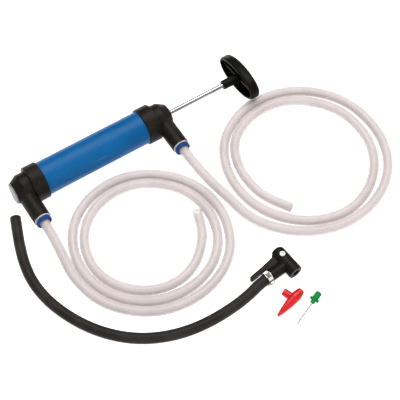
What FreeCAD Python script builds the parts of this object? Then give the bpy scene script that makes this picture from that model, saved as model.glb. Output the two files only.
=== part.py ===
import FreeCAD, Part
import math
import os

V = FreeCAD.Vector

# Hand pump for moving oil and fuel, lying on a flat surface with its rod drawn part way out.
# The barrel's axis runs along X, the handle is at +X and both ports point along -Y.

# Clearances
press_gap = 0.0
run_gap = 0.05
free_gap = 0.3

# Barrel
barrel_od = 40.0
barrel_wall = 2.5
barrel_span = 131.0
barrel_start_x = -119.0
axis_y = 130.0

# Caps, measured outward from the face on the barrel's side
collar_od = 44.0
collar_length = 16.5
hub_od = 36.0
hub_straight = 10.0
hub_end_od = 25.0
cap_length = 36.0
socket_depth = 10.0
seal_thickness = 1.2
seal_lip = 1.0
chamber_step = 3.0
chamber_end = 30.0
end_bore = 14.0
edge_round = 1.2

# Hose ports, measured outward from the barrel's axis
port_offset = 25.0
port_od = 20.6
port_reach = 46.4
port_flow_bore = 8.0
socket_start = 32.0
collet_start = 36.5
collet_bore = 16.0
ring_flange_od = 19.6
ring_flange = 0.7
release_od = 18.6
release_flange = 3.6
release_travel = 1.4
release_wall = 0.75
release_dish_od = 15.2
release_dish = 1.7

# Hoses
hose_od = 12.0
air_hose_od = 12.5

# Foot valve
seat_thickness = 2.5
seat_hole = 10.0
poppet_od = 16.0
poppet_thickness = 2.0
stem_od = 3.0
cage_od = 24.0
cage_wall = 1.5
cage_length = 9.7
cage_flange_gap = 0.5
foot_lift = 3.0
spring_wire = 1.0
spring_od = 10.0
spring_turns = 3.5

# Rod, piston and handle
rod_od = 6.0
rod_end_od = 4.4
rod_out = 74.5
rod_length = 185.0
piston_gap = 0.3
piston_length = 14.0
piston_hub_od = 10.0
ring_width = 4.0
ring_depth = 3.0
flow_holes = 6
flow_hole_od = 3.6
flow_circle_out = 0.4
flap_od = 27.0
flap_thickness = 1.0
flap_lift = 1.2
washer_od = 22.0
washer_thickness = 1.2
nut_across = 10.0
nut_length = 4.5
gland_length = 4.5
retainer_od = 19.0
retainer_thickness = 1.5
boss_od = 11.2
boss_length = 18.0
grip_length = 72.0
grip_width = 39.0
grip_depth = 13.0
grip_wall = 3.2
grip_round = 5.0
grip_edge_round = 2.8
grip_roll = -8.0
rod_in_handle = 24.0

# Tyre chuck on the air hose
chuck_x = 58.8
chuck_y = -103.3
chuck_turn = 5.5
head_od = 17.2
head_front = 14.0
head_back = 21.6
head_round = 5.0
mouth_bore = 8.2
mouth_depth = 6.0
chuck_seal_od = 9.6
chuck_seal_length = 3.0
neck_od = 13.0
neck_length = 25.0
slot_width = 6.6
pivot_back = 10.0
pivot_od = 3.2
pivot_head_od = 6.8
pivot_dimple_od = 2.8
eye_od = 13.0
lever_length = 43.0
lever_root = 12.0
lever_tip = 4.4
plunger_od = 3.0
clamp_width = 6.5
clamp_od = 16.2
clamp_teeth = 26

# Loose adapters
nozzle_x = 24.0
nozzle_y = -140.9
nozzle_turn = 14.4
nozzle_length = 39.0
nozzle_od = 11.6
nozzle_mouth_od = 8.6
nozzle_tip_od = 3.4
branch_od = 8.8
branch_reach = 14.0
nozzle_hole = 2.0
needle_x = 61.0
needle_y = -152.5
needle_turn = 202.4
needle_hub_od = 7.4
needle_hub_length = 14.5
needle_od = 2.0
needle_shank_od = 1.6
needle_bore = 1.0
needle_reach = 29.0
needle_ear = 10.4

# Sizes that follow
axis_z = collar_od / 2
barrel_bore = barrel_od - 2 * barrel_wall
seal_bore = barrel_bore - 2 * seal_lip
chamber_bore = barrel_bore - 2 * chamber_step
cage_flange_od = seal_bore - 2 * cage_flange_gap
barrel_end_x = barrel_start_x + barrel_span
seat_start = socket_depth + seal_thickness
base_seat_end = seat_start + seat_thickness
base_port_x = barrel_start_x - port_offset
top_port_x = barrel_end_x + port_offset
retainer_x = barrel_end_x + cap_length
boss_x = retainer_x + retainer_thickness + rod_out
rim_x = boss_x + boss_length
rod_end_x = boss_x + rod_in_handle
rod_tip_x = rod_end_x - rod_length
nut_x = rod_tip_x + 1.5
piston_x = nut_x + nut_length
piston_top_x = piston_x + piston_length
flap_x = piston_top_x
washer_x = flap_x + flap_thickness + flap_lift + 0.2
shoulder_x = washer_x + washer_thickness
piston_od = barrel_bore - 2 * piston_gap
groove_od = piston_od - 2 * ring_depth
flow_circle = (groove_od + piston_hub_od) / 2 + 2 * flow_circle_out
chuck_z = head_od / 2
release_start = port_reach + ring_flange + release_travel + 0.2

os.makedirs("parts", exist_ok=True)
made = {}


def rod(x0, x1, od):
    return Part.makeCylinder(od / 2, x1 - x0, V(x0, 0, 0), V(1, 0, 0))


def sleeve(x0, x1, od, bore):
    return rod(x0, x1, od).cut(rod(x0 - 1, x1 + 1, bore))


def turned(outline):
    points = [V(x, 0, d / 2) for x, d in outline]
    face = Part.Face(Part.makePolygon(points + [points[0]]))
    return face.revolve(V(0, 0, 0), V(1, 0, 0), 360)


def on_axis(shape):
    return shape.translated(V(0, axis_y, axis_z))


def on_port(shape, x):
    turned_down = shape.copy()
    turned_down.rotate(V(0, 0, 0), V(0, 0, 1), -90)
    return turned_down.translated(V(x, axis_y, axis_z))


def placed(shape, x, y, z, turn):
    moved = shape.copy()
    moved.rotate(V(0, 0, 0), V(0, 0, 1), turn)
    return moved.translated(V(x, y, z))


def base_side(shape):
    mirrored = shape.mirror(V(0, 0, 0), V(1, 0, 0))
    return mirrored.translated(V(barrel_start_x, 0, 0))


def top_side(shape):
    return shape.translated(V(barrel_end_x, 0, 0))


def circles_at(shape, x, od):
    found = []
    for edge in shape.Edges:
        if edge.Curve.TypeId != "Part::GeomCircle":
            continue
        if abs(edge.Curve.Radius - od / 2) < 0.01 and abs(edge.Curve.Center.x - x) < 0.01:
            found.append(edge)
    return found


def oval(x, length, width):
    curve = Part.Ellipse(V(0, 0, 0), length / 2, width / 2)
    face = Part.Face(Part.Wire([curve.toShape()]))
    face.rotate(V(0, 0, 0), V(0, 1, 0), 90)
    face.rotate(V(0, 0, 0), V(1, 0, 0), 90)
    return face.translated(V(x, 0, 0))


def add(name, shape):
    made[name] = shape
    shape.exportStep("parts/" + name + ".step")


# A cap: collar over the barrel, tapered hub, and a port that leaves the hub sideways
def cap(socket_end):
    hub_straight_end = collar_length + hub_straight
    body = turned([
        (0, 0),
        (0, collar_od),
        (collar_length, collar_od),
        (collar_length, hub_od),
        (hub_straight_end, hub_od),
        (cap_length, hub_end_od),
        (cap_length, 0),
    ])
    body = body.makeFillet(edge_round, circles_at(body, 0, collar_od)
                           + circles_at(body, collar_length, collar_od))
    body = body.makeFillet(2.5, circles_at(body, hub_straight_end, hub_od))
    port = rod(0, port_reach, port_od)
    port.rotate(V(0, 0, 0), V(0, 0, 1), -90)
    body = body.fuse(port.translated(V(port_offset, 0, 0)))
    body = body.cut(rod(-1, socket_end, barrel_od + 2 * run_gap))
    body = body.cut(rod(socket_end - 1, chamber_end, chamber_bore))
    body = body.cut(rod(chamber_end - 1, cap_length + 1, end_bore))
    for start, end, bore in (
        (0, socket_start + 1, port_flow_bore),
        (socket_start, collet_start + 1, hose_od + 2 * run_gap + 0.1),
        (collet_start, port_reach + 1, collet_bore),
    ):
        hole = rod(start, end, bore)
        hole.rotate(V(0, 0, 0), V(0, 0, 1), -90)
        body = body.cut(hole.translated(V(port_offset, 0, 0)))
    return body.removeSplitter()


add("barrel", on_axis(sleeve(barrel_start_x - socket_depth, barrel_end_x + socket_depth,
                             barrel_od, barrel_bore)))
add("base_cap", on_axis(base_side(cap(base_seat_end))))
add("top_cap", on_axis(top_side(cap(seat_start))))

gasket = sleeve(socket_depth, seat_start, barrel_od, seal_bore)
add("base_cap_seal", on_axis(base_side(gasket)))
add("top_cap_seal", on_axis(top_side(gasket)))

plug = turned([
    (chamber_end, 0),
    (chamber_end, end_bore),
    (cap_length, end_bore),
    (cap_length, hub_end_od),
    (cap_length + 1.0, hub_end_od),
    (cap_length + 1.5, hub_end_od - 1.0),
    (cap_length + 1.5, 0),
])
add("base_end_plug", on_axis(base_side(plug)))

# Push-in hose fitting in each port
seal_ring_section = (collet_bore - hose_od) / 4 - run_gap / 2
seal_ring_middle = (collet_bore + hose_od) / 4
seal_ring = Part.makeTorus(seal_ring_middle, seal_ring_section, V(0, 0, 0), V(1, 0, 0))
seal_ring = seal_ring.translated(V(collet_start + seal_ring_section + 0.1, 0, 0))
grab_x = collet_start + 2 * seal_ring_section + 0.4
grab = sleeve(grab_x, grab_x + 0.8, collet_bore, hose_od + 0.2)
for step in range(8):
    slot = Part.makeBox(4, 0.8, 2.0, V(grab_x - 1, -0.4, hose_od / 2 - 0.3))
    slot.rotate(V(0, 0, 0), V(1, 0, 0), step * 45)
    grab = grab.cut(slot)
release_bore = hose_od + 2 * free_gap
release_sleeve = release_bore + 2 * release_wall
holder_bore = release_sleeve + 2 * run_gap
holder_start = grab_x + 1.6
holder = sleeve(holder_start, port_reach, collet_bore, holder_bore)
holder = holder.fuse(sleeve(port_reach, port_reach + ring_flange, ring_flange_od, holder_bore))
holder = holder.removeSplitter()
release_end = release_start + release_flange
release = turned([
    (grab_x + 0.8 + release_travel + 0.2, release_bore),
    (grab_x + 0.8 + release_travel + 0.2, release_sleeve),
    (release_start, release_sleeve),
    (release_start, release_od - 0.8),
    (release_start + 0.4, release_od),
    (release_end - 1.0, release_od),
    (release_end, release_od - 2.0),
    (release_end, release_dish_od),
    (release_end - release_dish, release_dish_od - 0.6),
    (release_end - release_dish, release_bore),
])
for side, x in (("base", base_port_x), ("top", top_port_x)):
    add(side + "_port_seal", on_port(seal_ring, x))
    add(side + "_grab_ring", on_port(grab, x))
    add(side + "_port_ring", on_port(holder, x))
    add(side + "_release_collar", on_port(release, x))

# Foot valve, built outward from the barrel as the cap is
seat = sleeve(seat_start, base_seat_end, barrel_od, seat_hole)
add("foot_valve_seat", on_axis(base_side(seat)))
cage_open = cage_od - 2 * cage_wall
cage_top = seat_start - cage_length
cage = rod(cage_top, seat_start, cage_od).cut(rod(cage_top + cage_wall, seat_start + 1, cage_open))
cage = cage.fuse(sleeve(seat_start - 1.0, seat_start, cage_flange_od, cage_od - 0.5))
cage = cage.cut(rod(cage_top - 1, seat_start, stem_od + 2 * run_gap))
for step in range(4):
    window = Part.makeBox(cage_length - cage_wall - 3.0, 7, cage_od, V(cage_top + cage_wall + 0.8, -3.5, 0))
    window.rotate(V(0, 0, 0), V(1, 0, 0), 45 + step * 90)
    cage = cage.cut(window)
add("foot_valve_cage", on_axis(base_side(cage.removeSplitter())))
poppet_top = seat_start - poppet_thickness
poppet = rod(poppet_top, seat_start, poppet_od).fuse(rod(cage_top - 0.5, poppet_top, stem_od))
add("foot_valve_poppet", on_axis(base_side(poppet.removeSplitter())))
spring_start = cage_top + cage_wall + spring_wire / 2
spring_length = poppet_top - spring_start - spring_wire / 2
spring_mean = (spring_od - spring_wire) / 2
helix = Part.makeHelix(spring_length / spring_turns, spring_length, spring_mean)
coil_end = Part.Wire([Part.makeCircle(spring_wire / 2, V(spring_mean, 0, 0), V(0, 1, 0))])
spring = Part.Wire(helix.Edges).makePipeShell([coil_end], True, True)
spring.rotate(V(0, 0, 0), V(0, 1, 0), 90)
add("foot_valve_spring", on_axis(base_side(spring.translated(V(spring_start, 0, 0)))))

# Rod gland in the top cap
gland_x = chamber_end
bush = sleeve(gland_x, gland_x + gland_length, end_bore, rod_od + 2 * run_gap)
wiper = sleeve(gland_x + gland_length, cap_length, end_bore, rod_od + 2 * run_gap)
retainer = turned([
    (cap_length, rod_od + 1.0),
    (cap_length, retainer_od),
    (cap_length + retainer_thickness - 0.5, retainer_od),
    (cap_length + retainer_thickness, retainer_od - 1.0),
    (cap_length + retainer_thickness, rod_od + 1.0),
])
add("rod_guide_bush", on_axis(top_side(bush)))
add("rod_seal", on_axis(top_side(wiper)))
add("gland_retainer", on_axis(top_side(retainer)))

# Rod with its stepped end through the piston
steel_rod = rod(shoulder_x, rod_end_x, rod_od).fuse(rod(rod_tip_x, shoulder_x, rod_end_od))
add("rod", on_axis(steel_rod.removeSplitter()))

# Piston: seal ring in a groove, flow holes under a lifting flap
groove_x = piston_x + (piston_length - ring_width) / 2
piston = rod(piston_x, piston_top_x, piston_od).fuse(rod(piston_top_x, washer_x, piston_hub_od))
piston = piston.cut(sleeve(groove_x, groove_x + ring_width, barrel_od, groove_od))
piston = piston.cut(rod(piston_x - 1, washer_x + 1, rod_end_od))
for step in range(flow_holes):
    angle = 2 * math.pi * step / flow_holes
    centre = V(piston_x - 1, math.cos(angle) * flow_circle / 2, math.sin(angle) * flow_circle / 2)
    piston = piston.cut(Part.makeCylinder(flow_hole_od / 2, piston_length + 2, centre, V(1, 0, 0)))
add("piston", on_axis(piston.removeSplitter()))
ring_bore = groove_od + 2 * run_gap
add("piston_ring", on_axis(sleeve(groove_x + run_gap, groove_x + ring_width - run_gap,
                                  barrel_bore - 2 * run_gap, ring_bore)))
add("piston_flap", on_axis(sleeve(flap_x, flap_x + flap_thickness, flap_od,
                                  piston_hub_od + 2 * free_gap)))
add("piston_washer", on_axis(sleeve(washer_x, shoulder_x, washer_od, rod_end_od)))
corners = [math.radians(60 * step) for step in range(7)]
nut_radius = nut_across / math.sqrt(3)
hexagon = Part.makePolygon([V(nut_x, nut_radius * math.cos(a), nut_radius * math.sin(a))
                            for a in corners])
nut = Part.Face(hexagon).extrude(V(nut_length, 0, 0)).cut(rod(nut_x - 1, piston_x + 1, rod_end_od))
add("piston_nut", on_axis(nut))

# Oval handle: a deep shell open towards the cap, with a boss and ribs inside
shell = oval(rim_x, grip_length, grip_width).extrude(V(grip_depth, 0, 0))
shell = shell.makeFillet(grip_round, [e for e in shell.Edges if e.BoundBox.XMin > rim_x + grip_depth - 0.1])
shell = shell.makeFillet(grip_edge_round, [e for e in shell.Edges if e.BoundBox.XMax < rim_x + 0.1])
inner_length = grip_length - 2 * grip_wall
inner_width = grip_width - 2 * grip_wall
hollow = oval(rim_x - 1, inner_length, inner_width).extrude(V(grip_depth - grip_wall + 1, 0, 0))
ribs = Part.makeBox(grip_depth - 4, inner_length, 2.0, V(rim_x + 3.5, -inner_length / 2, -1.0))
ribs = ribs.fuse(Part.makeBox(grip_depth - 4, 2.0, inner_width, V(rim_x + 3.5, -1.0, -inner_width / 2)))
ribs = ribs.common(hollow)
handle = shell.cut(hollow).fuse(ribs)
handle = handle.fuse(rod(boss_x, rim_x + grip_depth - 1, boss_od))
handle = handle.cut(rod(boss_x - 1, rod_end_x, rod_od)).removeSplitter()
handle = handle.makeFillet(0.8, circles_at(handle, boss_x, boss_od))
handle.rotate(V(0, 0, 0), V(1, 0, 0), grip_roll)
add("handle", on_axis(handle))


# A hose follows straight runs joined by arcs, each as large as its two runs allow
def hose_path(name, points):
    edges = []
    here = points[0]
    radii = []
    for before, corner, after in zip(points, points[1:], points[2:]):
        back = before - corner
        ahead = after - corner
        reach = 0.45 * min(back.Length, ahead.Length)
        half_turn = (math.pi - back.getAngle(ahead)) / 2
        radius = reach / math.tan(half_turn)
        radii.append(radius)
        arc_start = corner + back.normalize() * reach
        arc_end = corner + ahead.normalize() * reach
        toward = (back + ahead).normalize()
        middle = corner + toward * (radius / math.cos(half_turn) - radius)
        edges.append(Part.LineSegment(here, arc_start).toShape())
        edges.append(Part.Arc(arc_start, middle, arc_end).toShape())
        here = arc_end
    edges.append(Part.LineSegment(here, points[-1]).toShape())
    print(name, "arc radii from", round(min(radii), 1), "to", round(max(radii), 1))
    return Part.Wire(edges)


def hose(name, points, od):
    path = hose_path(name, points)
    first = (points[1] - points[0]).normalize()
    section = Part.Wire([Part.makeCircle(od / 2, points[0], first)])
    solid = path.makePipeShell([section], True, False)
    filled = math.pi * od * od / 4 * path.Length
    print(name, "length", round(path.Length, 1), "volume ratio", round(solid.Volume / filled, 4))
    add(name, solid)


# Turns on the surface, counted from the coil's -Y side. The reaches are the line's radii at
# each eighth of a turn, from a quarter turn before, so loose turns can differ in size
def coil_turns(centre_x, centre_y, reaches, start, stop):
    points = []
    for step in range(round((stop - start) * coil_steps) + 1):
        turn = start + step / coil_steps
        place = (turn + 0.25) * 8
        before = min(int(place), len(reaches) - 2)
        reach = reaches[before] + (reaches[before + 1] - reaches[before]) * (place - before)
        reach *= coil_spread
        angle = 2 * math.pi * turn - math.pi / 2
        points.append(V(centre_x + reach * math.cos(angle), centre_y + reach * math.sin(angle), hose_od / 2))
    return points


hose_start_y = axis_y - 35.0
hose_bend_y = axis_y - 64.0
coil_steps = 16
coil_spread = 1.02
base_reaches = [95.4, 91.8, 90.3, 91.5, 86.6, 83.1, 84.8, 86.8, 83.2, 79.5, 77.0,
                77.0, 74.1, 70.7, 71.7, 72.8, 70.8, 66.4, 62.9, 57.8, 61.4]
top_reaches = [109.0, 103.4, 101.4, 98.4, 90.9, 89.4, 91.0, 93.8, 89.9, 88.7, 88.9,
               82.0, 75.5, 73.9, 78.6, 81.4, 73.8, 72.5]
base_hose_points = [
    V(base_port_x, hose_start_y, axis_z),
    V(base_port_x, hose_bend_y, axis_z),
    V(-146, 36, 13),
    V(-148.5, 8, 6.5),
]
base_hose_points += coil_turns(-52, 8, base_reaches, -0.1875, 2.25)
hose("base_hose", base_hose_points, hose_od)
top_hose_points = [
    V(top_port_x, hose_start_y, axis_z),
    V(top_port_x, hose_bend_y, axis_z),
    V(41.6, 34, 15.5),
    V(49.8, 6, 9),
]
top_hose_points += coil_turns(157, 7, top_reaches, -0.1875, 1.875)
hose("top_hose", top_hose_points, hose_od)

# Tyre chuck: built with the hose side at -X and the mouth at -Y, then turned into place
head = turned([
    (-head_back, 0),
    (-head_back, head_od),
    (head_front, head_od),
    (head_front, 0),
])
head = head.makeFillet(head_round, circles_at(head, -head_back, head_od))
head = head.makeFillet(1.0, circles_at(head, head_front, head_od))
head.rotate(V(0, 0, 0), V(0, 0, 1), -90)
neck = rod(-neck_length, 0, neck_od)
chuck = head.fuse(neck)
mouth_end = mouth_depth - head_front
mouth = Part.makeCylinder(mouth_bore / 2, mouth_depth + 1, V(0, -head_front - 1, 0), V(0, 1, 0))
pocket = Part.makeCylinder(chuck_seal_od / 2, chuck_seal_length, V(0, mouth_end, 0), V(0, 1, 0))
guide = Part.makeCylinder(plunger_od / 2 + run_gap, 40, V(0, -head_front, 0), V(0, 1, 0))
slot = Part.makeBox(head_od, 30, slot_width, V(-head_od, neck_od / 2 + 0.1, -slot_width / 2))
slot = slot.fuse(Part.makeBox(eye_od + 1.5, 30, slot_width,
                              V(-eye_od / 2 - 0.5, pivot_back - eye_od / 2 - 1, -slot_width / 2)))
pivot_hole = Part.makeCylinder(pivot_od / 2, head_od + 2, V(0, pivot_back, -head_od / 2 - 1), V(0, 0, 1))
chuck = chuck.cut(mouth).cut(pocket).cut(guide).cut(slot).cut(pivot_hole).removeSplitter()
add("chuck_body", placed(chuck, chuck_x, chuck_y, chuck_z, chuck_turn))

seal_back = mouth_end + chuck_seal_length
chuck_seal = Part.makeCylinder(chuck_seal_od / 2, chuck_seal_length, V(0, mouth_end, 0), V(0, 1, 0))
chuck_seal = chuck_seal.cut(Part.makeCylinder(plunger_od / 2 + 0.6, 5.0, V(0, mouth_end - 1.0, 0), V(0, 1, 0)))
add("chuck_seal", placed(chuck_seal, chuck_x, chuck_y, chuck_z, chuck_turn))

plunger_back = pivot_back - eye_od / 2 - free_gap
plunger = Part.makeCylinder(plunger_od / 2, plunger_back - seal_back + 2.0, V(0, seal_back - 2.0, 0), V(0, 1, 0))
add("chuck_plunger", placed(plunger, chuck_x, chuck_y, chuck_z, chuck_turn))

lever_thick = slot_width - 2 * free_gap
eye = Part.makeCylinder(eye_od / 2, lever_thick, V(0, 0, -lever_thick / 2), V(0, 0, 1))
lever_under = neck_od / 2 + 0.5 - pivot_back
lever_over_clamp = clamp_od / 2 + 0.4 - pivot_back
arm_outline = [
    V(0, eye_od / 2 - 0.6, 0),
    V(-9.0, lever_root / 2, 0),
    V(-26.0, 3.6, 0),
    V(-lever_length, lever_tip / 2 - 0.2, 0),
    V(-lever_length, -lever_tip / 2 - 0.2, 0),
    V(-36.0, -2.0, 0),
    V(-32.8, lever_over_clamp, 0),
    V(-25.0, lever_over_clamp, 0),
    V(-22.0, lever_under, 0),
    V(-eye_od / 2, lever_under, 0),
    V(0, -eye_od / 2 + 2.5, 0),
]
arm = Part.Face(Part.makePolygon(arm_outline + [arm_outline[0]])).extrude(V(0, 0, lever_thick))
arm = arm.translated(V(0, 0, -lever_thick / 2))
tip = Part.makeCylinder(lever_tip / 2, lever_thick, V(-lever_length, -0.2, -lever_thick / 2), V(0, 0, 1))
lever = eye.fuse(arm).fuse(tip).removeSplitter()
lever = lever.cut(Part.makeCylinder(pivot_od / 2 + run_gap, 20, V(0, 0, -10), V(0, 0, 1)))
lever = lever.translated(V(0, pivot_back, 0))
add("chuck_lever", placed(lever, chuck_x, chuck_y, chuck_z, chuck_turn))

pin_top = math.sqrt((head_od / 2) ** 2 - (pivot_head_od / 2) ** 2)
pin = Part.makeCylinder(pivot_od / 2, head_od - 1.0, V(0, pivot_back, -head_od / 2 + 0.5), V(0, 0, 1))
pin_head = Part.makeCylinder(pivot_head_od / 2, head_od / 2 - pin_top + 0.9, V(0, pivot_back, pin_top), V(0, 0, 1))
chuck_solid = made["chuck_body"]
pin_head = pin_head.makeFillet(0.5, [pin_head.Edges[0]])
dimple = Part.makeCylinder(pivot_dimple_od / 2, 2.0, V(0, pivot_back, head_od / 2 + 0.1), V(0, 0, 1))
pin = placed(pin.fuse(pin_head).cut(dimple), chuck_x, chuck_y, chuck_z, chuck_turn)
chuck_solid = chuck_solid.cut(placed(pin_head, chuck_x, chuck_y, chuck_z, chuck_turn))
add("chuck_body", chuck_solid)
add("chuck_pin", pin)

# Air hose from the chuck's neck to its open end
turn = math.radians(chuck_turn)
neck_end = V(chuck_x - neck_length * math.cos(turn), chuck_y - neck_length * math.sin(turn), chuck_z)
neck_run = neck_end - V(14 * math.cos(turn), 14 * math.sin(turn), 0)
floor_z = air_hose_od / 2
air_hose_points = [
    neck_end,
    neck_run,
    V(5, -111, 7.4),
    V(-16, -114.3, 6.4),
    V(-43.4, -115.6, floor_z),
    V(-69.6, -113.6, floor_z),
    V(-93.8, -107.6, floor_z),
    V(-115.9, -97.8, floor_z),
    V(-135.4, -84.4, floor_z),
    V(-153.3, -66.3, floor_z),
    V(-167.6, -45.4, floor_z),
    V(-178.7, -22.1, floor_z),
    V(-186.1, 2.3, floor_z),
    V(-188.8, 27.3, floor_z),
    V(-186.0, 51.8, floor_z),
    V(-179.6, 74.6, floor_z),
    V(-172.8, 93.4, floor_z),
    V(-166.1, 110.7, floor_z),
]
hose("air_hose", air_hose_points, air_hose_od)

# Serrated band clamp over the hose's end
band = []
for step in range(2 * clamp_teeth):
    reach = clamp_od / 2 - (0.5 if step % 2 else 0.0)
    angle = math.pi * step / clamp_teeth
    band.append(V(0, reach * math.cos(angle), reach * math.sin(angle)))
clamp = Part.Face(Part.makePolygon(band + [band[0]])).extrude(V(clamp_width, 0, 0))
clamp = clamp.fuse(Part.makeBox(clamp_width, 5.0, 4.0, V(0, -clamp_od / 2 - 1.5, -1.0)))
clamp = clamp.cut(rod(-1, clamp_width + 1, air_hose_od)).removeSplitter()
clamp = clamp.translated(V(-neck_length - clamp_width - 0.4, 0, 0))
add("hose_clamp", placed(clamp, chuck_x, chuck_y, chuck_z, chuck_turn))

# Tapered inflator nozzle with a side branch
belly = nozzle_length * 0.7
nozzle = turned([
    (0, nozzle_hole),
    (0, nozzle_tip_od - 0.6),
    (1.0, nozzle_tip_od),
    (belly * 0.3, nozzle_od * 0.58),
    (belly * 0.6, nozzle_od * 0.82),
    (belly, nozzle_od),
    (nozzle_length - 7.0, nozzle_od - 0.4),
    (nozzle_length - 1.5, nozzle_mouth_od),
    (nozzle_length, nozzle_mouth_od - 1.6),
    (nozzle_length, nozzle_hole),
])
branch = Part.makeCylinder(branch_od / 2, branch_reach, V(belly - 1.0, 0, 0), V(-0.1, 1, 0))
branch = branch.makeFillet(1.2, [branch.Edges[0]])
branch_hole = Part.makeCylinder(nozzle_hole / 2 + 1.0, 8.0, V(belly - 1.0 - 0.8, 7.5, 0), V(-0.1, 1, 0))
nozzle = nozzle.fuse(branch).cut(rod(-1, nozzle_length + 1, nozzle_hole)).cut(branch_hole)
nozzle = nozzle.removeSplitter()
nozzle_lean = math.degrees(math.atan2((nozzle_od - nozzle_tip_od) / 2, belly))
nozzle.rotate(V(0, 0, 0), V(0, 1, 0), -nozzle_lean)
nozzle = placed(nozzle, nozzle_x - 8.0, nozzle_y - 6.5, 0, nozzle_turn)
add("nozzle_adapter", nozzle.translated(V(0, 0, -nozzle.BoundBox.ZMin)))

# Ball needle: a green hub with two ears and a steel tube
needle_hub = turned([
    (0, 4.6),
    (0, needle_hub_od - 1.0),
    (1.0, needle_hub_od),
    (needle_hub_length - 6.5, needle_hub_od),
    (needle_hub_length - 5.0, needle_hub_od - 1.8),
    (needle_hub_length, needle_hub_od - 2.4),
    (needle_hub_length, needle_shank_od),
    (6.0, needle_shank_od),
    (6.0, 4.6),
])
ears = Part.makeCylinder(1.7, needle_ear, V(needle_hub_length - 5.0, -needle_ear / 2, 0), V(0, 1, 0))
needle_hub = needle_hub.fuse(ears).cut(rod(6.0, needle_hub_length + 1, needle_shank_od))
needle_hub = needle_hub.removeSplitter()
needle_tube = rod(needle_hub_length, needle_hub_length + needle_reach, needle_od)
needle_tube = needle_tube.fuse(rod(7.0, needle_hub_length, needle_shank_od)).removeSplitter()
needle_tube = needle_tube.cut(rod(6.0, needle_hub_length + needle_reach + 1, needle_bore))
needle_lean = math.degrees(math.atan2((needle_hub_od - needle_od) / 2, needle_hub_length + needle_reach))
pieces = []
for piece in (needle_hub, needle_tube):
    piece.rotate(V(0, 0, 0), V(0, 1, 0), needle_lean)
    pieces.append(placed(piece, needle_x + 8.0, needle_y + 3.3, 0, needle_turn))
lowest = min(piece.BoundBox.ZMin for piece in pieces)
add("needle_hub", pieces[0].translated(V(0, 0, -lowest)))
add("needle_tube", pieces[1].translated(V(0, 0, -lowest)))

box = Part.makeCompound([shape for name, shape in made.items() if "hose" not in name]).BoundBox
print("without hoses", [round(value, 1) for value in (box.XMin, box.XMax, box.YMin, box.YMax, box.ZMin, box.ZMax)])
for name, shape in made.items():
    print(name, shape.ShapeType, len(shape.Solids), shape.isValid(), round(shape.Volume, 1))
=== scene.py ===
import math
import bpy
import bmesh
from mathutils import Matrix, Vector


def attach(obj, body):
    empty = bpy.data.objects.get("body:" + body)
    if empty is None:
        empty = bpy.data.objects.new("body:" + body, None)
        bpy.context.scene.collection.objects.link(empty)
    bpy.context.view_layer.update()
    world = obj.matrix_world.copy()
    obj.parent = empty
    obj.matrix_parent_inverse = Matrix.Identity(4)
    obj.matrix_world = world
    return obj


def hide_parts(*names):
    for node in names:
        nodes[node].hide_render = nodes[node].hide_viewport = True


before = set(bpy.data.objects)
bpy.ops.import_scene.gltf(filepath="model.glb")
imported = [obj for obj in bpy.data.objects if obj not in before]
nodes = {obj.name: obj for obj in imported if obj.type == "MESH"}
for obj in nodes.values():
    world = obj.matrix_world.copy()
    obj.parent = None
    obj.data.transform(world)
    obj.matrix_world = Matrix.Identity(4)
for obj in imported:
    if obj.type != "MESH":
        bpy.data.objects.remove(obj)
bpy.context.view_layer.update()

cameraSetup = {
    "place": (-0.3828, -0.6184, 1.2657),
    "target": (0.0168, 0.0109, 0.022),
    "lens": 116.45,
    "sensor": 36.0,
}


def makeCamera(setup):
    data = bpy.data.cameras.new("camera")
    data.lens = setup["lens"]
    data.sensor_width = setup["sensor"]
    data.clip_end = 20.0
    camera = bpy.data.objects.new("camera", data)
    bpy.context.scene.collection.objects.link(camera)
    camera.location = setup["place"]
    aim = Vector(setup["target"]) - Vector(setup["place"])
    camera.rotation_euler = aim.to_track_quat("-Z", "Y").to_euler()
    bpy.context.scene.camera = camera


makeCamera(cameraSetup)
bpy.context.scene.view_settings.view_transform = "Standard"
print("camera placed")


# Shader groups that the finishes share
def newGroup(name, inputs, outputs):
    group = bpy.data.node_groups.new(name, "ShaderNodeTree")
    for label, value in inputs:
        socket = group.interface.new_socket(label, in_out="INPUT", socket_type="NodeSocketFloat")
        socket.default_value = value
    for label in outputs:
        group.interface.new_socket(label, in_out="OUTPUT", socket_type="NodeSocketFloat")
    return group, group.nodes.new("NodeGroupInput"), group.nodes.new("NodeGroupOutput")


def addNoise(tree, vector, detail, rough):
    noise = tree.nodes.new("ShaderNodeTexNoise")
    noise.inputs["Detail"].default_value = detail
    noise.inputs["Roughness"].default_value = rough
    tree.links.new(vector, noise.inputs["Vector"])
    return noise


def addRange(tree, value, low, high, newLow, newHigh, smooth=True):
    spread = tree.nodes.new("ShaderNodeMapRange")
    spread.interpolation_type = "SMOOTHSTEP" if smooth else "LINEAR"
    spread.inputs["From Min"].default_value = low
    spread.inputs["From Max"].default_value = high
    spread.inputs["To Min"].default_value = newLow
    spread.inputs["To Max"].default_value = newHigh
    tree.links.new(value, spread.inputs["Value"])
    return spread


def mottleGroup():
    # broad soft patches, for handling and slight colour changes
    group, entry, leave = newGroup("softMottle", [("Scale", 30.0)], ["Mask"])
    place = group.nodes.new("ShaderNodeTexCoord")
    noise = addNoise(group, place.outputs["Object"], 4.0, 0.6)
    group.links.new(entry.outputs["Scale"], noise.inputs["Scale"])
    spread = addRange(group, noise.outputs["Fac"], 0.35, 0.66, 0.0, 1.0)
    group.links.new(spread.outputs["Result"], leave.inputs["Mask"])
    return group


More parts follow.
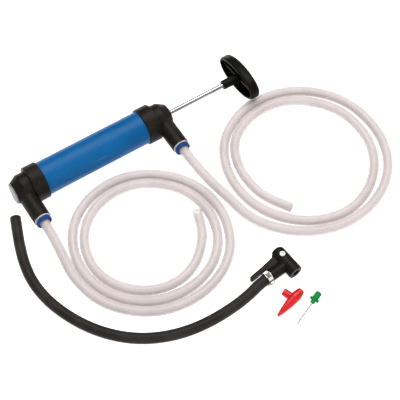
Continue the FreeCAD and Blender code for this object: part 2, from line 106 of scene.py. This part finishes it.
def grainGroup():
    # fine spark-eroded grain, as a mould leaves it
    group, entry, leave = newGroup("mouldGrain", [("Scale", 1500.0)], ["Height"])
    place = group.nodes.new("ShaderNodeTexCoord")
    noise = addNoise(group, place.outputs["Object"], 2.0, 0.5)
    cells = group.nodes.new("ShaderNodeTexVoronoi")
    mix = group.nodes.new("ShaderNodeMath")
    mix.operation = "MULTIPLY_ADD"
    mix.inputs[1].default_value = 0.5
    group.links.new(place.outputs["Object"], cells.inputs["Vector"])
    group.links.new(entry.outputs["Scale"], noise.inputs["Scale"])
    group.links.new(entry.outputs["Scale"], cells.inputs["Scale"])
    group.links.new(cells.outputs["Distance"], mix.inputs[0])
    group.links.new(noise.outputs["Fac"], mix.inputs[2])
    group.links.new(mix.outputs[0], leave.inputs["Height"])
    return group


def scratchGroup():
    # fine scratches that run along X, the way the pump is handled and wiped
    group, entry, leave = newGroup("rubScratches", [("Scale", 900.0), ("Threshold", 0.64)], ["Mask"])
    place = group.nodes.new("ShaderNodeTexCoord")
    stretch = group.nodes.new("ShaderNodeMapping")
    stretch.inputs["Rotation"].default_value = (0.0, 0.0, 0.09)
    stretch.inputs["Scale"].default_value = (0.035, 1.0, 1.0)
    group.links.new(place.outputs["Object"], stretch.inputs["Vector"])
    noise = addNoise(group, stretch.outputs["Vector"], 3.0, 0.55)
    group.links.new(entry.outputs["Scale"], noise.inputs["Scale"])
    spread = addRange(group, noise.outputs["Fac"], 0.64, 0.72, 0.0, 1.0)
    group.links.new(entry.outputs["Threshold"], spread.inputs["From Min"])
    group.links.new(spread.outputs["Result"], leave.inputs["Mask"])
    return group


def speckGroup():
    # sparse dust specks on faces that look up
    group, entry, leave = newGroup("dustSpecks", [("Scale", 260.0), ("Size", 0.12)], ["Mask"])
    place = group.nodes.new("ShaderNodeTexCoord")
    cells = group.nodes.new("ShaderNodeTexVoronoi")
    group.links.new(place.outputs["Object"], cells.inputs["Vector"])
    group.links.new(entry.outputs["Scale"], cells.inputs["Scale"])
    below = group.nodes.new("ShaderNodeMath")
    below.operation = "LESS_THAN"
    group.links.new(cells.outputs["Distance"], below.inputs[0])
    group.links.new(entry.outputs["Size"], below.inputs[1])
    side = group.nodes.new("ShaderNodeNewGeometry")
    split = group.nodes.new("ShaderNodeSeparateXYZ")
    group.links.new(side.outputs["Normal"], split.inputs["Vector"])
    up = addRange(group, split.outputs["Z"], 0.2, 0.9, 0.0, 1.0)
    both = group.nodes.new("ShaderNodeMath")
    both.operation = "MULTIPLY"
    group.links.new(below.outputs[0], both.inputs[0])
    group.links.new(up.outputs["Result"], both.inputs[1])
    group.links.new(both.outputs[0], leave.inputs["Mask"])
    return group


mottle = mottleGroup()
grain = grainGroup()
scratches = scratchGroup()
specks = speckGroup()


def placeGroup(tree, group, **values):
    node = tree.nodes.new("ShaderNodeGroup")
    node.node_tree = group
    for label, value in values.items():
        node.inputs[label].default_value = value
    return node


def mixColour(tree, mask, first, second):
    mix = tree.nodes.new("ShaderNodeMix")
    mix.data_type = "RGBA"
    for socket, source in ((mix.inputs["A"], first), (mix.inputs["B"], second)):
        if isinstance(source, tuple):
            socket.default_value = (*source, 1.0)
        else:
            tree.links.new(source, socket)
    tree.links.new(mask, mix.inputs["Factor"])
    return mix.outputs["Result"]


def makeFinish(finish):
    material = bpy.data.materials.new(finish["name"])
    material.use_nodes = True
    tree = material.node_tree
    shader = tree.nodes["Principled BSDF"]
    patches = placeGroup(tree, mottle, Scale=finish.get("patchScale", 40.0))
    colour = mixColour(tree, patches.outputs["Mask"], finish["colour"], finish["second"])
    rough = addRange(tree, patches.outputs["Mask"], 0.0, 1.0, *finish["roughness"], smooth=False)
    if "scratchColour" in finish:
        rubbed = placeGroup(tree, scratches, Scale=finish["scratchScale"], Threshold=finish["scratchFrom"])
        colour = mixColour(tree, rubbed.outputs["Mask"], colour, finish["scratchColour"])
    if "dustColour" in finish:
        dust = placeGroup(tree, specks, Scale=finish["dustScale"], Size=finish["dustSize"])
        colour = mixColour(tree, dust.outputs["Mask"], colour, finish["dustColour"])
    # painted edge shade: the colour darkens towards the silhouette by Layer Weight facing, standing in for
    # the dark refraction at the clear hose's edges
    if "paintedEdgeShadeColour" in finish:
        edge = tree.nodes.new("ShaderNodeLayerWeight")
        edge.inputs["Blend"].default_value = 0.5
        paintedEdgeShade = addRange(tree, edge.outputs["Facing"], finish["paintedEdgeShadeFrom"], 1.0, 0.0, 1.0)
        colour = mixColour(tree, paintedEdgeShade.outputs["Result"], colour, finish["paintedEdgeShadeColour"])
    tree.links.new(colour, shader.inputs["Base Color"])
    tree.links.new(rough.outputs["Result"], shader.inputs["Roughness"])
    surface = placeGroup(tree, grain, Scale=finish.get("grainScale", 1500.0))
    bump = tree.nodes.new("ShaderNodeBump")
    bump.inputs["Strength"].default_value = finish.get("grainStrength", 0.3)
    bump.inputs["Distance"].default_value = finish.get("grainDepth", 0.0001)
    tree.links.new(surface.outputs["Height"], bump.inputs["Height"])
    tree.links.new(bump.outputs["Normal"], shader.inputs["Normal"])
    for label, value in finish.get("sockets", {}).items():
        shader.inputs[label].default_value = value
    return material


coilSetup = {
    "stepsPerTurn": 16,
    "reachesPerTurn": 8,
    "firstReach": -0.25,  # in turns
    "spread": 1.02,  # the line runs a little inside its points
    "height": 0.006,
}


def coilTurns(centreX, centreY, reaches, start, stop):
    # turns on the surface, counted from the coil's -Y side; the reaches are the line's radii
    points = []
    for step in range(round((stop - start) * coilSetup["stepsPerTurn"]) + 1):
        turn = start + step / coilSetup["stepsPerTurn"]
        place = (turn - coilSetup["firstReach"]) * coilSetup["reachesPerTurn"]
        before = min(int(place), len(reaches) - 2)
        reach = reaches[before] + (reaches[before + 1] - reaches[before]) * (place - before)
        reach *= coilSetup["spread"]
        angle = 2 * math.pi * turn - math.pi / 2
        points.append((centreX + reach * math.cos(angle), centreY + reach * math.sin(angle),
                       coilSetup["height"]))
    return points


baseReaches = [0.0954, 0.0918, 0.0903, 0.0915, 0.0866, 0.0831, 0.0848, 0.0868, 0.0832, 0.0795, 0.0770,
               0.0770, 0.0741, 0.0707, 0.0717, 0.0728, 0.0708, 0.0664, 0.0629, 0.0578, 0.0614]
topReaches = [0.1090, 0.1034, 0.1014, 0.0984, 0.0909, 0.0894, 0.0910, 0.0938, 0.0899, 0.0887, 0.0889,
              0.0820, 0.0755, 0.0739, 0.0786, 0.0814, 0.0738, 0.0725]

baseHose = {
    "name": "baseHose",
    "route": [(-0.144, 0.095, 0.022), (-0.144, 0.066, 0.022), (-0.146, 0.036, 0.013),
              (-0.1485, 0.008, 0.0065)]
    + coilTurns(-0.052, 0.008, baseReaches, -0.1875, 2.25),
    "diameter": 0.012,
    "wall": 0.0015,
    "length": 1.32,
    "exit": (-0.144, 0.078, 0.022),
    "lay": "coiled",
    "stiffness": "medium",
    "body": "pump",
    "replaces": "base_hose",
    "slot": "hose_clear",
}

topHose = {
    "name": "topHose",
    "route": [(0.037, 0.095, 0.022), (0.037, 0.066, 0.022), (0.0416, 0.034, 0.0155),
              (0.0498, 0.006, 0.009)]
    + coilTurns(0.157, 0.007, topReaches, -0.1875, 1.875),
    "diameter": 0.012,
    "wall": 0.0015,
    "length": 1.27,
    "exit": (0.037, 0.078, 0.022),
    "lay": "coiled",
    "stiffness": "medium",
    "body": "pump",
    "replaces": "top_hose",
    "slot": "hose_clear",
}

airHose = {
    "name": "airHose",
    "route": [
        (0.03392, -0.10570, 0.0086), (0.01998, -0.10704, 0.0086), (0.005, -0.111, 0.0074),
        (-0.016, -0.1143, 0.0064), (-0.0434, -0.1156, 0.00625), (-0.0696, -0.1136, 0.00625),
        (-0.0938, -0.1076, 0.00625), (-0.1159, -0.0978, 0.00625), (-0.1354, -0.0844, 0.00625),
        (-0.1533, -0.0663, 0.00625), (-0.1676, -0.0454, 0.00625), (-0.1787, -0.0221, 0.00625),
        (-0.1861, 0.0023, 0.00625), (-0.1888, 0.0273, 0.00625), (-0.1860, 0.0518, 0.00625),
        (-0.1796, 0.0746, 0.00625), (-0.1728, 0.0934, 0.00625), (-0.1661, 0.1107, 0.00625),
    ],
    "diameter": 0.0125,
    "wall": 0.003,
    "length": 0.39,
    "exit": (0.03392, -0.10570, 0.0086),
    "lay": "loose",
    "stiffness": "stiff",
    "body": "air_line",
    "replaces": "air_hose",
    "slot": "air_hose_rubber",
}

hoseFinish = {
    "name": "hoseClear",
    "colour": (0.590, 0.530, 0.525),
    "second": (0.640, 0.575, 0.570),
    # painted edge shade towards the hose's silhouette, standing in for dark refraction at its edges
    "paintedEdgeShadeColour": (0.44, 0.40, 0.40),
    "paintedEdgeShadeFrom": 0.78,
    "roughness": (0.22, 0.34),
    "patchScale": 18.0,
    "grainScale": 60.0,
    "grainStrength": 0.08,
    "grainDepth": 0.0002,
    "sockets": {"Alpha": 0.55, "IOR": 1.4},
}

airHoseFinish = {
    "name": "airHoseRubber",
    "colour": (0.016, 0.0135, 0.012),
    "second": (0.026, 0.022, 0.019),
    "roughness": (0.36, 0.50),
    "patchScale": 60.0,
    "scratchColour": (0.06, 0.052, 0.045),
    "scratchScale": 700.0,
    "scratchFrom": 0.70,
    "dustColour": (0.16, 0.15, 0.14),
    "dustScale": 240.0,
    "dustSize": 0.07,
    "grainScale": 1200.0,
    "grainStrength": 0.45,
    "grainDepth": 0.00012,
    "sockets": {"Specular IOR Level": 0.07},
}


def routeCurve(hose):
    data = bpy.data.curves.new(hose["name"] + "Route", "CURVE")
    data.dimensions = "3D"
    data.resolution_u = 10
    spline = data.splines.new("NURBS")
    spline.points.add(len(hose["route"]) - 1)
    for point, place in zip(spline.points, hose["route"]):
        point.co = (*place, 1.0)
    spline.order_u = 3
    spline.use_endpoint_u = True
    curve = bpy.data.objects.new(hose["name"] + "Route", data)
    bpy.context.scene.collection.objects.link(curve)
    bpy.context.view_layer.update()
    return curve


def makeHose(hose, material):
    curve = routeCurve(hose)
    line = bpy.data.meshes.new_from_object(curve)
    path = [tuple(v.co) for v in line.vertices]
    curve.data.bevel_depth = hose["diameter"] / 2
    curve.data.bevel_resolution = 6
    mesh = bpy.data.meshes.new_from_object(curve)
    mesh.name = hose["name"]
    bm = bmesh.new()
    bm.from_mesh(mesh)
    bmesh.ops.recalc_face_normals(bm, faces=bm.faces)
    bmesh.ops.solidify(bm, geom=bm.faces[:], thickness=hose["wall"])
    bmesh.ops.recalc_face_normals(bm, faces=bm.faces)
    for face in bm.faces:
        face.smooth = True
    bm.to_mesh(mesh)
    bm.free()
    mesh.materials.clear()
    mesh.materials.append(material)
    piece = bpy.data.objects.new(hose["name"], mesh)
    bpy.context.scene.collection.objects.link(piece)
    bpy.data.objects.remove(curve)
    bpy.data.meshes.remove(line)
    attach(piece, hose["body"])
    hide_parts(hose["replaces"])
    return piece, path


for hose, finish in ((baseHose, hoseFinish), (topHose, hoseFinish), (airHose, airHoseFinish)):
    material = bpy.data.materials.get(finish["name"]) or makeFinish(finish)
    makeHose(hose, material)
print("hoses made")

barrelFinish = {
    "name": "barrelBlue",
    "colour": (0.0008, 0.078, 0.235),
    "second": (0.0015, 0.092, 0.265),
    "roughness": (0.30, 0.40),
    "patchScale": 22.0,
    "scratchColour": (0.05, 0.17, 0.36),
    "scratchScale": 650.0,
    "scratchFrom": 0.69,
    "dustColour": (0.18, 0.26, 0.36),
    "dustScale": 200.0,
    "dustSize": 0.05,
    "grainScale": 900.0,
    "grainStrength": 0.12,
    "grainDepth": 0.00008,
    "sockets": {"Specular IOR Level": 0.12},
}

capFinish = {
    "name": "capBlack",
    "colour": (0.0085, 0.0065, 0.0050),
    "second": (0.0150, 0.0118, 0.0092),
    "roughness": (0.30, 0.44),
    "patchScale": 55.0,
    "scratchColour": (0.045, 0.038, 0.032),
    "scratchScale": 800.0,
    "scratchFrom": 0.70,
    "dustColour": (0.12, 0.11, 0.10),
    "dustScale": 260.0,
    "dustSize": 0.06,
    "grainScale": 1700.0,
    "grainStrength": 0.35,
    "grainDepth": 0.00010,
    "sockets": {"Specular IOR Level": 0.07},
}

handleFinish = {
    "name": "handleBlack",
    "colour": (0.0022, 0.0019, 0.0016),
    "second": (0.0050, 0.0044, 0.0038),
    "roughness": (0.32, 0.46),
    "patchScale": 48.0,
    "scratchColour": (0.03, 0.028, 0.026),
    "scratchScale": 800.0,
    "scratchFrom": 0.70,
    "grainScale": 1500.0,
    "grainStrength": 0.40,
    "grainDepth": 0.00012,
    "sockets": {"Specular IOR Level": 0.07},
}

pistonFinish = {
    "name": "pistonBlack",
    "colour": (0.012, 0.012, 0.013),
    "second": (0.020, 0.020, 0.021),
    "roughness": (0.34, 0.48),
    "patchScale": 70.0,
    "grainScale": 1500.0,
    "grainStrength": 0.3,
    "grainDepth": 0.00010,
    "sockets": {"Specular IOR Level": 0.07},
}

sealFinish = {
    "name": "sealRubber",
    "colour": (0.010, 0.010, 0.010),
    "second": (0.020, 0.019, 0.018),
    "roughness": (0.48, 0.62),
    "patchScale": 90.0,
    "grainScale": 2200.0,
    "grainStrength": 0.45,
    "grainDepth": 0.00010,
}

plugFinish = {
    "name": "plugGrey",
    "colour": (0.120, 0.098, 0.095),
    "second": (0.200, 0.168, 0.162),
    "roughness": (0.38, 0.50),
    "patchScale": 80.0,
    "scratchColour": (0.22, 0.21, 0.20),
    "scratchScale": 900.0,
    "scratchFrom": 0.68,
    "grainScale": 1600.0,
    "grainStrength": 0.3,
    "grainDepth": 0.00010,
}

smallSteelFinish = {
    "name": "smallSteel",
    "colour": (0.42, 0.41, 0.40),
    "second": (0.52, 0.51, 0.50),
    "roughness": (0.24, 0.36),
    "patchScale": 120.0,
    "scratchColour": (0.25, 0.24, 0.23),
    "scratchScale": 1500.0,
    "scratchFrom": 0.66,
    "grainScale": 2500.0,
    "grainStrength": 0.2,
    "grainDepth": 0.00006,
    "sockets": {"Metallic": 1.0},
}

ringFinish = {
    "name": "ringWhite",
    "colour": (0.62, 0.61, 0.60),
    "second": (0.70, 0.69, 0.68),
    "roughness": (0.32, 0.44),
    "patchScale": 120.0,
    "grainScale": 1800.0,
    "grainStrength": 0.2,
    "grainDepth": 0.00006,
}

releaseFinish = {
    "name": "releaseBlue",
    "colour": (0.009, 0.040, 0.185),
    "second": (0.013, 0.052, 0.225),
    "roughness": (0.26, 0.38),
    "patchScale": 150.0,
    "grainScale": 1800.0,
    "grainStrength": 0.2,
    "grainDepth": 0.00006,
    "sockets": {"Specular IOR Level": 0.07},
}

valveFinish = {
    "name": "valveWhite",
    "colour": (0.55, 0.54, 0.51),
    "second": (0.64, 0.63, 0.60),
    "roughness": (0.34, 0.48),
    "patchScale": 90.0,
    "grainScale": 1500.0,
    "grainStrength": 0.25,
    "grainDepth": 0.00008,
}

rodFinish = {
    "name": "rodChrome",
    "colour": (0.30, 0.297, 0.292),
    "second": (0.36, 0.356, 0.350),
    "roughness": (0.14, 0.25),
    "patchScale": 60.0,
    "scratchColour": (0.40, 0.39, 0.38),
    "scratchScale": 1600.0,
    "scratchFrom": 0.66,
    "grainScale": 1200.0,
    "grainStrength": 0.06,
    "grainDepth": 0.00004,
    "sockets": {"Metallic": 1.0},
}

clampFinish = {
    "name": "clampSteel",
    "colour": (0.30, 0.285, 0.265),
    "second": (0.40, 0.385, 0.365),
    "roughness": (0.22, 0.34),
    "patchScale": 140.0,
    "scratchColour": (0.30, 0.29, 0.28),
    "scratchScale": 1500.0,
    "scratchFrom": 0.66,
    "grainScale": 2400.0,
    "grainStrength": 0.2,
    "grainDepth": 0.00006,
    "sockets": {"Metallic": 1.0},
}

chuckFinish = {
    "name": "chuckBlack",
    "colour": (0.0060, 0.0056, 0.0052),
    "second": (0.0115, 0.0105, 0.0095),
    "roughness": (0.30, 0.44),
    "patchScale": 90.0,
    "scratchColour": (0.040, 0.036, 0.032),
    "scratchScale": 900.0,
    "scratchFrom": 0.69,
    "grainScale": 1800.0,
    "grainStrength": 0.35,
    "grainDepth": 0.00010,
    "sockets": {"Specular IOR Level": 0.07},
}

clamp = {
    "start": -0.0319,  # along the neck's line, from the chuck's centre
    "centre": (0.0588, -0.1033, 0.0086),
    "turn": 5.5,
    "width": 0.0065,
    "bore": 0.01252,
    "diameter": 0.0162,
    "ridges": 44,
    "ridgeDepth": 0.0004,
    "lip": 0.0006,
    "lug": (0.0048, 0.0036, 0.0036),
    "lugPlace": (0.00325, -0.0078, 0.0010),
    "screwRadius": 0.0014,
    "screwLength": 0.0060,
    "screwSides": 24,
    "lugEdge": 0.0005,
}


def makeClamp(setup, material):
    inner = setup["bore"] / 2
    outer = setup["diameter"] / 2
    width, lip = setup["width"], setup["lip"]
    low = outer - setup["ridgeDepth"]
    bm = bmesh.new()
    section = [(0, inner), (0, outer), (lip, outer), (lip * 1.4, low), (width - lip * 1.4, low),
               (width - lip, outer), (width, outer), (width, inner)]
    loop = [bm.verts.new((x, reach, 0)) for x, reach in section]
    edges = [bm.edges.new((a, b)) for a, b in zip(loop, loop[1:] + loop[:1])]
    steps = setup["ridges"] * 2
    bmesh.ops.spin(bm, geom=loop + edges, cent=(0, 0, 0), axis=(1, 0, 0), angle=2 * math.pi,
                   steps=steps, use_merge=True)
    for vert in bm.verts:
        angle = math.atan2(vert.co.z, vert.co.y)
        ridge = round(angle / (2 * math.pi) * steps) % 2 == 0
        reach = math.hypot(vert.co.y, vert.co.z)
        if ridge and lip * 1.2 < vert.co.x < width - lip * 1.2:
            vert.co.y *= outer / reach
            vert.co.z *= outer / reach
    lug = bmesh.ops.create_cube(bm, size=1.0)["verts"]
    bmesh.ops.scale(bm, verts=lug, vec=setup["lug"])
    bmesh.ops.translate(bm, verts=lug, vec=setup["lugPlace"])
    lugEdges = list({edge for vert in lug for edge in vert.link_edges})
    bmesh.ops.bevel(bm, geom=lugEdges, offset=setup["lugEdge"], offset_type="OFFSET", segments=2, profile=0.5,
                    affect="EDGES", material=-1)
    turnToX = Matrix.Rotation(math.pi / 2, 4, "Y")
    shift = Matrix.Translation(setup["lugPlace"])
    bmesh.ops.create_cone(bm, cap_ends=True, segments=setup["screwSides"],
                          radius1=setup["screwRadius"],
                          radius2=setup["screwRadius"], depth=setup["screwLength"], matrix=shift @ turnToX)
    bmesh.ops.recalc_face_normals(bm, faces=bm.faces)
    place = (Matrix.Translation(setup["centre"]) @ Matrix.Rotation(math.radians(setup["turn"]), 4, "Z")
             @ Matrix.Translation((setup["start"], 0, 0)))
    bmesh.ops.transform(bm, verts=bm.verts, matrix=place)
    mesh = bpy.data.meshes.new("hoseClamp")
    bm.to_mesh(mesh)
    bm.free()
    mesh.materials.append(material)
    piece = bpy.data.objects.new("hoseClamp", mesh)
    bpy.context.scene.collection.objects.link(piece)
    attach(piece, "air_line")
    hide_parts("hose_clamp")


makeClamp(clamp, makeFinish(clampFinish))
print("clamp made")

pinFinish = dict(smallSteelFinish, name="pinSteel", colour=(0.20, 0.19, 0.175),
                 second=(0.28, 0.265, 0.245))

nozzleFinish = {
    "name": "nozzleRed",
    "colour": (0.48, 0.007, 0.009),
    "second": (0.56, 0.011, 0.013),
    "roughness": (0.22, 0.34),
    "patchScale": 110.0,
    "dustColour": (0.45, 0.16, 0.16),
    "dustScale": 380.0,
    "dustSize": 0.06,
    "grainScale": 900.0,
    "grainStrength": 0.15,
    "grainDepth": 0.00008,
    "sockets": {"Specular IOR Level": 0.3},
}

needleHubFinish = {
    "name": "needleGreen",
    "colour": (0.001, 0.160, 0.026),
    "second": (0.002, 0.205, 0.038),
    "roughness": (0.24, 0.36),
    "patchScale": 130.0,
    "grainScale": 900.0,
    "grainStrength": 0.15,
    "grainDepth": 0.00008,
    "sockets": {"Specular IOR Level": 0.10},
}

needleSteelFinish = dict(smallSteelFinish, name="needleSteel", colour=(0.27, 0.262, 0.255),
                         second=(0.34, 0.33, 0.32))

finishOfNodes = [
    (barrelFinish, ["barrel"]),
    (capFinish, ["base_cap", "top_cap"]),
    (sealFinish, ["base_cap_seal", "top_cap_seal", "base_port_seal", "top_port_seal", "rod_seal",
                  "piston_ring", "piston_flap", "chuck_seal"]),
    (plugFinish, ["base_end_plug"]),
    (smallSteelFinish, ["base_grab_ring", "top_grab_ring", "foot_valve_spring", "piston_washer",
                        "piston_nut", "gland_retainer"]),
    (ringFinish, ["base_port_ring", "top_port_ring"]),
    (releaseFinish, ["base_release_collar", "top_release_collar"]),
    (valveFinish, ["foot_valve_seat", "foot_valve_cage", "foot_valve_poppet", "rod_guide_bush"]),
    (rodFinish, ["rod"]),
    (handleFinish, ["handle"]),
    (pistonFinish, ["piston"]),
    (chuckFinish, ["chuck_body", "chuck_lever"]),
    (pinFinish, ["chuck_pin", "chuck_plunger"]),
    (nozzleFinish, ["nozzle_adapter"]),
    (needleHubFinish, ["needle_hub"]),
    (needleSteelFinish, ["needle_tube"]),
]


def dressNodes():
    for finish, names in finishOfNodes:
        material = makeFinish(finish)
        for name in names:
            mesh = nodes[name].data
            if mesh.materials:
                for index in range(len(mesh.materials)):
                    mesh.materials[index] = material
            else:
                mesh.materials.append(material)


dressNodes()
print("nodes dressed")

floorSetup = {"size": 8.0, "height": -0.0002, "colour": (0.90, 0.90, 0.90), "second": (0.92, 0.92, 0.92)}
worldSetup = {"bright": (1.0, 1.0, 1.0), "dim": (0.05, 0.05, 0.05), "lean": -0.55, "from": -0.25, "to": 0.45,
              "strength": 0.5}
softboxes = [
    {"name": "overheadSoftbox", "place": (0.45, 0.62, 2.0), "target": (0.0, 0.0, 0.0),
     "size": (2.3, 1.35), "power": 52.0, "colour": (1.0, 0.99, 0.97)},
    {"name": "frontFill", "place": (-0.6, -1.3, 0.9), "target": (0.0, 0.0, 0.0),
     "size": (1.4, 0.9), "power": 10.0, "colour": (1.0, 1.0, 1.0)},
]


def makeFloor(setup):
    bm = bmesh.new()
    bmesh.ops.create_grid(bm, x_segments=1, y_segments=1, size=setup["size"] / 2)
    bmesh.ops.translate(bm, verts=bm.verts, vec=(0.0, 0.0, setup["height"]))
    mesh = bpy.data.meshes.new("floor")
    bm.to_mesh(mesh)
    bm.free()
    finish = {"name": "floorPaper", "colour": setup["colour"], "second": setup["second"],
              "roughness": (0.85, 0.95), "patchScale": 3.0, "grainStrength": 0.05,
              "sockets": {"Specular IOR Level": 0.1, "Emission Color": (1.0, 1.0, 1.0, 1.0),
                          "Emission Strength": 0.8}}
    mesh.materials.append(makeFinish(finish))
    floor = bpy.data.objects.new("floor", mesh)
    bpy.context.scene.collection.objects.link(floor)


def makeLights():
    world = bpy.data.worlds.new("studio")
    bpy.context.scene.world = world
    world.use_nodes = True
    background = world.node_tree.nodes["Background"]
    tree = world.node_tree
    place = tree.nodes.new("ShaderNodeTexCoord")
    split = tree.nodes.new("ShaderNodeSeparateXYZ")
    tree.links.new(place.outputs["Generated"], split.inputs["Vector"])
    lean = tree.nodes.new("ShaderNodeMath")
    lean.operation = "MULTIPLY_ADD"
    lean.inputs[1].default_value = worldSetup["lean"]
    tree.links.new(split.outputs["Y"], lean.inputs[0])
    tree.links.new(split.outputs["Z"], lean.inputs[2])
    fade = addRange(tree, lean.outputs[0], worldSetup["from"], worldSetup["to"], 0.0, 1.0)
    tree.links.new(mixColour(tree, fade.outputs["Result"], worldSetup["dim"], worldSetup["bright"]),
                   background.inputs["Color"])
    background.inputs["Strength"].default_value = worldSetup["strength"]
    for box in softboxes:
        data = bpy.data.lights.new(box["name"], "AREA")
        data.shape = "RECTANGLE"
        data.size, data.size_y = box["size"]
        data.energy = box["power"]
        data.color = box["colour"]
        light = bpy.data.objects.new(box["name"], data)
        bpy.context.scene.collection.objects.link(light)
        light.location = box["place"]
        aim = Vector(box["target"]) - Vector(box["place"])
        light.rotation_euler = aim.to_track_quat("-Z", "Y").to_euler()


makeFloor(floorSetup)
makeLights()
print("floor and lights made")
